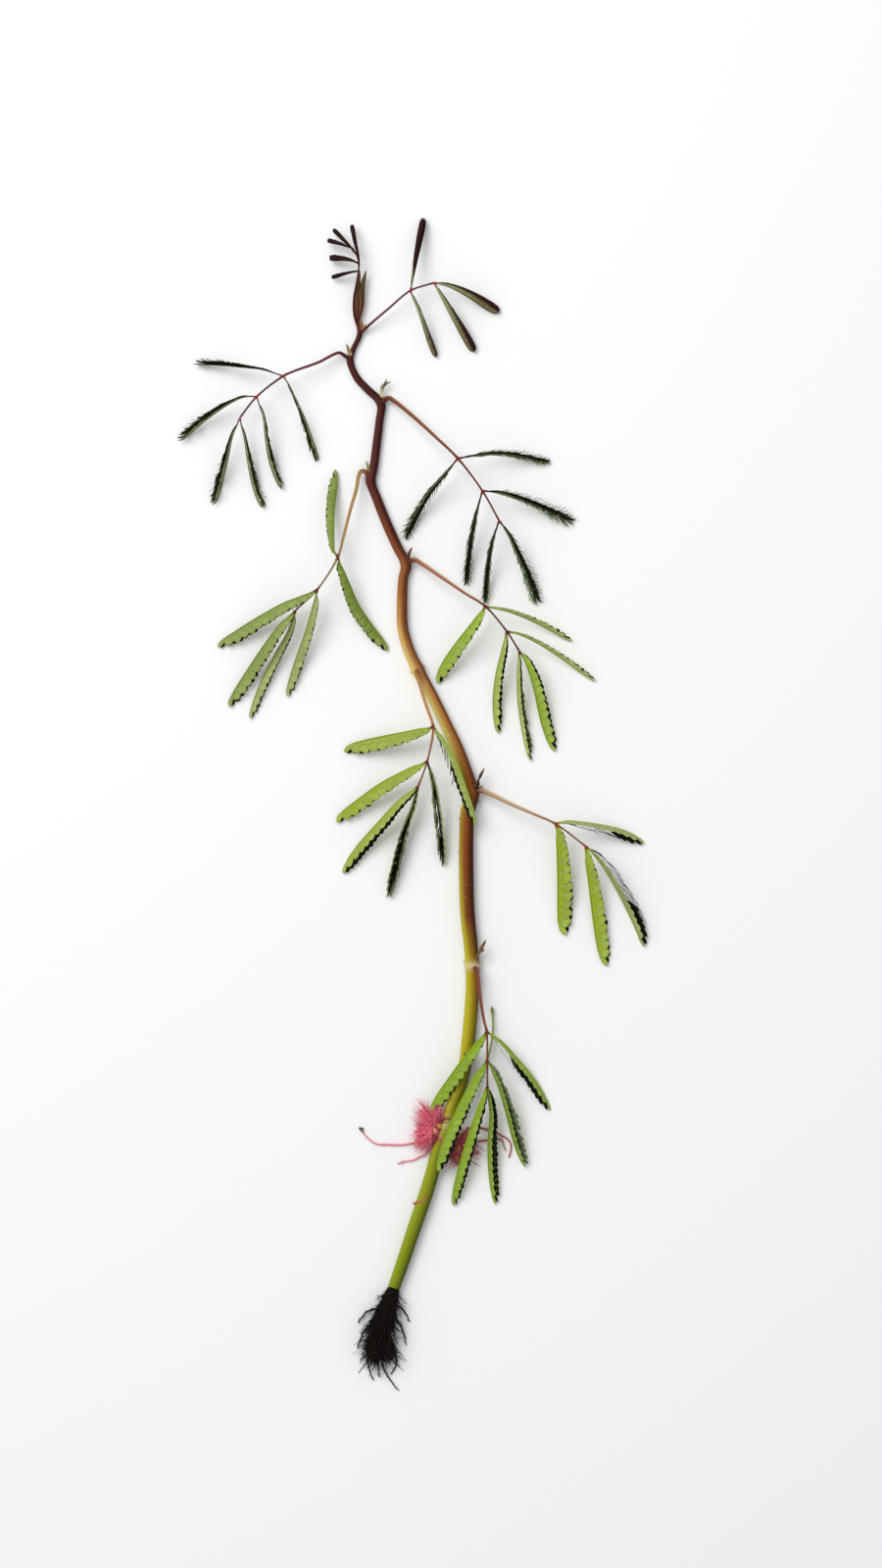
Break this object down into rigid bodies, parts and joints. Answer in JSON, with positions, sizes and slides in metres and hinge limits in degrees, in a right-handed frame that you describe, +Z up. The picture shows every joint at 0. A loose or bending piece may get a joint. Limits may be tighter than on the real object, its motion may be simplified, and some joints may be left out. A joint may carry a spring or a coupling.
{
  "type": "water mimosa sprig",
  "caption": "Cut sprig of water mimosa lying flat: zigzag stem with feathery two-row leaves on arching stalks, pink root tufts and a dark root tangle.",
  "frame": {"origin": "on the surface that the sprig lies on, under the middle of its outline seen from above", "axes": "+Y along the sprig towards its shoot tip, +Z up from the surface, +X to the right when seen from above"},
  "size_m": [0.1438, 0.3588, 0.0088],
  "materials": {
    "stem": "fresh green to red-brown skin, faintly ribbed, satin",
    "shoot_tip": "dark olive-brown young sheath, matte",
    "stalk": "coppery brown leaf stalk, satin",
    "leaf_dark": "young folded leaflets, olive with maroon edges, matte",
    "leaf_mid": "folded leaflets, mid green with dark edges, matte",
    "leaf_bright": "folded leaflets, lime green with dark edges, matte",
    "bud": "pale green flower-bud stalk, satin",
    "pink_root": "fine pink roots, matte",
    "black_root": "blackish old roots, matte"
  },
  "bodies": {
    "root": {"stem": "stem", "tip_bud": "shoot_tip", "young_leaf": "leaf_dark", "leaf_2_stalk": "stalk", "leaf_2_pinna_a": "leaf_dark", "leaf_2_pinna_b": "leaf_dark", "leaf_2_pinna_c": "leaf_dark", "leaf_2_pinna_d": "leaf_dark", "leaf_3_stalk": "stalk", "leaf_3_pinna_a": "leaf_dark", "leaf_3_pinna_b": "leaf_dark", "leaf_3_pinna_c": "leaf_dark", "leaf_3_pinna_d": "leaf_dark", "leaf_3_pinna_e": "leaf_dark", "leaf_3_pinna_f": "leaf_dark", "leaf_4_stalk": "stalk", "leaf_4_pinna_a": "leaf_dark", "leaf_4_pinna_b": "leaf_dark", "leaf_4_pinna_c": "leaf_dark", "leaf_4_pinna_d": "leaf_dark", "leaf_4_pinna_e": "leaf_dark", "leaf_4_pinna_f": "leaf_dark", "leaf_5_stalk": "stalk", "leaf_5_pinna_a": "leaf_mid", "leaf_5_pinna_b": "leaf_mid", "leaf_5_pinna_c": "leaf_mid", "leaf_5_pinna_d": "leaf_mid", "leaf_5_pinna_e": "leaf_mid", "leaf_5_pinna_f": "leaf_mid", "leaf_6_stalk": "stalk", "leaf_6_pinna_a": "leaf_mid", "leaf_6_pinna_b": "leaf_mid", "leaf_6_pinna_c": "leaf_mid", "leaf_6_pinna_d": "leaf_mid", "leaf_6_pinna_e": "leaf_mid", "leaf_6_pinna_f": "leaf_mid", "leaf_7_stalk": "stalk", "leaf_7_pinna_a": "leaf_bright", "leaf_7_pinna_b": "leaf_bright", "leaf_7_pinna_c": "leaf_bright", "leaf_7_pinna_d": "leaf_bright", "leaf_7_pinna_e": "leaf_bright", "leaf_7_pinna_f": "leaf_bright", "leaf_8_stalk": "stalk", "leaf_8_pinna_a": "leaf_bright", "leaf_8_pinna_b": "leaf_bright", "leaf_8_pinna_c": "leaf_bright", "leaf_8_pinna_d": "leaf_bright", "leaf_9_stalk": "stalk", "leaf_9_pinna_a": "leaf_bright", "leaf_9_pinna_b": "leaf_bright", "leaf_9_pinna_c": "leaf_bright", "leaf_9_pinna_d": "leaf_bright", "leaf_9_pinna_e": "leaf_bright", "leaf_9_pinna_f": "leaf_bright", "bud_stalk": "bud", "pink_roots_left": "pink_root", "pink_roots_right": "pink_root", "black_roots": "black_root"}
  },
  "joints": []
}
